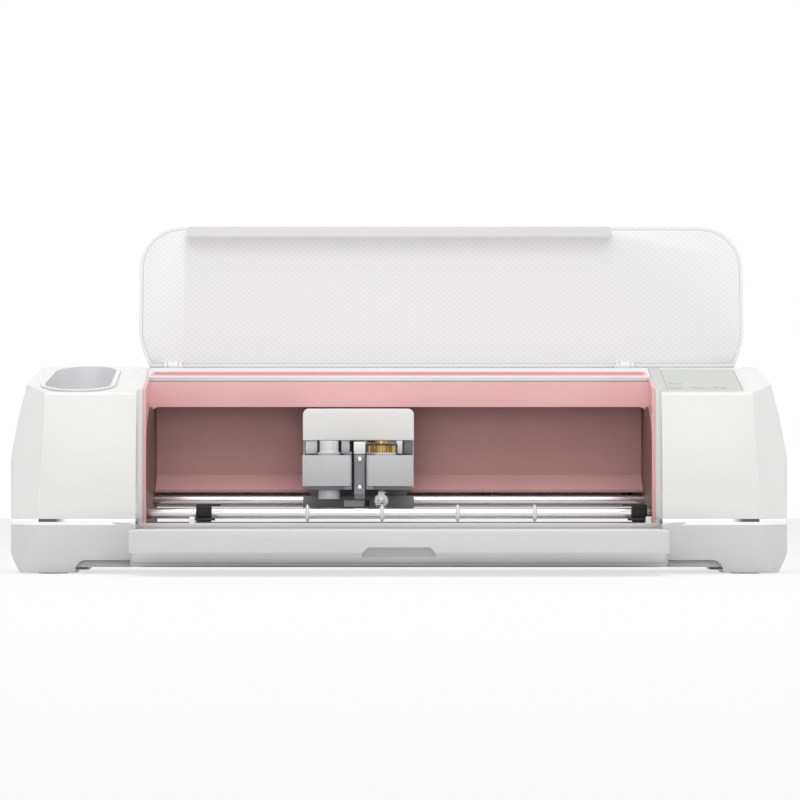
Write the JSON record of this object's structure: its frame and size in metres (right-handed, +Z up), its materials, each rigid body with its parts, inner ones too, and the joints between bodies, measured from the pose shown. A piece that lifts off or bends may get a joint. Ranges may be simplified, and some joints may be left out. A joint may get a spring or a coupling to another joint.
{
  "type": "die cutting machine",
  "caption": "Desktop die cutting machine with raised lid, lowered front door, twin tool clamps on a belt-driven carriage and mat feed rollers.",
  "frame": {"origin": "middle of the footprint with the door lowered, on the surface that the feet stand on", "axes": "+X to the machine's right as its user faces it, +Y from the user's side to the rear, +Z up"},
  "size_m": [0.574, 0.273, 0.2605],
  "materials": {
    "white_plastic": "satin moulded",
    "grey_plastic": "fine matt",
    "pale_grey_plastic": "fine matt",
    "pink_plastic": "satin",
    "deep_pink_plastic": "satin",
    "chrome": "mirror",
    "steel": "ground",
    "dark_plastic": "matt",
    "clamp_grey": "matt",
    "black_rubber": "matt",
    "brass": "polished",
    "circuit_board": "lacquered",
    "motor_case": "satin"
  },
  "bodies": {
    "machine": {"base_tray": "grey_plastic", "bottom_pan": "grey_plastic", "rubber_feet": "black_rubber", "pan_screws": "steel", "chrome_trim": "chrome", "left_tower_shell": "white_plastic", "right_tower_shell": "white_plastic", "top_cover": "white_plastic", "docking_tray": "pink_plastic", "pink_band": "pink_plastic", "cavity_liner": "deep_pink_plastic", "rear_cover": "white_plastic", "tool_cup": "grey_plastic", "control_panel": "pale_grey_plastic", "deck_plate": "grey_plastic", "mat_guides": "dark_plastic", "side_frames": "steel", "carriage_rails": "chrome", "roller_bushings": "dark_plastic", "feed_motor": "motor_case", "motor_brackets": "steel", "x_motor": "motor_case", "x_belt": "black_rubber", "main_board": "circuit_board", "power_inlet": "dark_plastic", "usb_port": "steel", "door_hinge_pins": "steel", "lid_hinge_ears": "dark_plastic", "lid_hinge_pins": "steel"},
    "lid": {"lid_panel": "white_plastic", "lid_inner_panel": "pale_grey_plastic"},
    "door": {"front_door": "white_plastic", "door_inner_panel": "pale_grey_plastic"},
    "carriage": {"carriage_frame": "clamp_grey", "carriage_cover": "white_plastic"},
    "clamp_a": {"clamp_a_block": "clamp_grey", "pen_adapter": "pale_grey_plastic"},
    "lever_a": {"clamp_a_lever": "pale_grey_plastic"},
    "clamp_b": {"clamp_b_block": "clamp_grey", "blade_housing": "white_plastic"},
    "lever_b": {"clamp_b_lever": "pale_grey_plastic"},
    "blade_turret": {"drive_gear": "brass", "blade_fork": "chrome"},
    "blade": {"rotary_blade": "steel"},
    "carriage_pinion": {"drive_pinion": "steel"},
    "feed_roller": {"grit_roller": "steel", "roller_gear": "pale_grey_plastic"},
    "feed_pinion": {"motor_pinion": "brass"},
    "pinch_roller": {"pinch_shaft": "chrome", "pinch_rollers": "black_rubber"},
    "star_1": {"star_wheel_1": "white_plastic"},
    "star_2": {"star_wheel_2": "white_plastic"},
    "star_3": {"star_wheel_3": "white_plastic"},
    "star_4": {"star_wheel_4": "white_plastic"},
    "x_drive": {"x_drive_pulley": "steel"},
    "x_idler": {"x_idler_pulley": "steel"},
    "power_key": {"power_button": "white_plastic"},
    "load_key": {"load_button": "white_plastic"},
    "pause_key": {"pause_button": "white_plastic"},
    "go_key": {"go_button": "white_plastic"}
  },
  "joints": [
    {"name": "lid_hinge", "type": "hinge", "parent": "machine", "child": "lid", "pos_m": [0, 0.0825, 0.15305], "axis": [1, 0, 0], "range_deg": [0, 113]},
    {"name": "door_hinge", "type": "hinge", "parent": "machine", "child": "door", "pos_m": [0, -0.0325, 0.018], "axis": [-1, 0, 0], "range_deg": [0, 90]},
    {"name": "carriage_slide", "type": "slide", "parent": "machine", "child": "carriage", "axis": [1, 0, 0], "range_m": [-0.11, 0.17]},
    {"name": "clamp_a_lift", "type": "slide", "parent": "carriage", "child": "clamp_a", "axis": [0, 0, -1], "range_m": [0, 0.01], "stiffness_N_per_m": 400, "springref_m": -0.005},
    {"name": "clamp_b_lift", "type": "slide", "parent": "carriage", "child": "clamp_b", "axis": [0, 0, -1], "range_m": [0, 0.01], "stiffness_N_per_m": 400, "springref_m": -0.005},
    {"name": "clamp_a_lever_hinge", "type": "hinge", "parent": "clamp_a", "child": "lever_a", "pos_m": [-0.0373, 0.0011, 0.074], "axis": [0, 0, -1], "range_deg": [-50, 0]},
    {"name": "clamp_b_lever_hinge", "type": "hinge", "parent": "clamp_b", "child": "lever_b", "pos_m": [-0.0212, 0.0011, 0.074], "axis": [0, 0, 1], "range_deg": [-50, 0]},
    {"name": "blade_swivel", "type": "hinge", "parent": "clamp_b", "child": "blade_turret", "pos_m": [-0.013, 0.0165, 0.091], "axis": [0, 0, 1], "continuous": true},
    {"name": "blade_roll", "type": "hinge", "parent": "blade_turret", "child": "blade", "pos_m": [-0.013, 0.0165, 0.0528], "axis": [0, 1, 0], "continuous": true},
    {"name": "drive_pinion_spin", "type": "hinge", "parent": "carriage", "child": "carriage_pinion", "pos_m": [-0.02442, 0.02792, 0.087], "axis": [0, 0, 1], "continuous": true},
    {"name": "feed_roller_spin", "type": "hinge", "parent": "machine", "child": "feed_roller", "pos_m": [0, 0.0015, 0.0311], "axis": [1, 0, 0], "continuous": true},
    {"name": "feed_pinion_spin", "type": "hinge", "parent": "machine", "child": "feed_pinion", "pos_m": [0.203, 0.01821, 0.05102], "axis": [1, 0, 0], "continuous": true},
    {"name": "pinch_roller_spin", "type": "hinge", "parent": "machine", "child": "pinch_roller", "pos_m": [0, 0.0015, 0.0438], "axis": [1, 0, 0], "continuous": true},
    {"name": "star_wheel_1_shift", "type": "slide", "parent": "pinch_roller", "child": "star_1", "axis": [1, 0, 0], "range_m": [-0.02, 0.02]},
    {"name": "star_wheel_2_shift", "type": "slide", "parent": "pinch_roller", "child": "star_2", "axis": [1, 0, 0], "range_m": [-0.02, 0.02]},
    {"name": "star_wheel_3_shift", "type": "slide", "parent": "pinch_roller", "child": "star_3", "axis": [1, 0, 0], "range_m": [-0.02, 0.02]},
    {"name": "star_wheel_4_shift", "type": "slide", "parent": "pinch_roller", "child": "star_4", "axis": [1, 0, 0], "range_m": [-0.02, 0.02]},
    {"name": "x_drive_pulley_spin", "type": "hinge", "parent": "machine", "child": "x_drive", "pos_m": [0.218, 0.056, 0.127], "axis": [0, 0, 1], "continuous": true},
    {"name": "x_idler_pulley_spin", "type": "hinge", "parent": "machine", "child": "x_idler", "pos_m": [-0.201, 0.056, 0.127], "axis": [0, 0, 1], "continuous": true},
    {"name": "power_button_press", "type": "slide", "parent": "machine", "child": "power_key", "axis": [0, 0.1942, -0.981], "range_m": [0, 0.001], "stiffness_N_per_m": 500, "springref_m": -0.0004},
    {"name": "load_button_press", "type": "slide", "parent": "machine", "child": "load_key", "axis": [0, 0.1942, -0.981], "range_m": [0, 0.001], "stiffness_N_per_m": 500, "springref_m": -0.0004},
    {"name": "pause_button_press", "type": "slide", "parent": "machine", "child": "pause_key", "axis": [0, 0.1942, -0.981], "range_m": [0, 0.001], "stiffness_N_per_m": 500, "springref_m": -0.0004},
    {"name": "go_button_press", "type": "slide", "parent": "machine", "child": "go_key", "axis": [0, 0.1942, -0.981], "range_m": [0, 0.001], "stiffness_N_per_m": 500, "springref_m": -0.0004}
  ],
  "couplings": [
    {"joint": "drive_pinion_spin", "follows": "blade_swivel", "ratio": -1.4286},
    {"joint": "feed_pinion_spin", "follows": "feed_roller_spin", "ratio": -3.3333},
    {"joint": "pinch_roller_spin", "follows": "feed_roller_spin", "ratio": -0.9375},
    {"joint": "x_drive_pulley_spin", "follows": "carriage_slide", "rad_per_m": 172.41},
    {"joint": "x_idler_pulley_spin", "follows": "carriage_slide", "rad_per_m": 172.41}
  ]
}
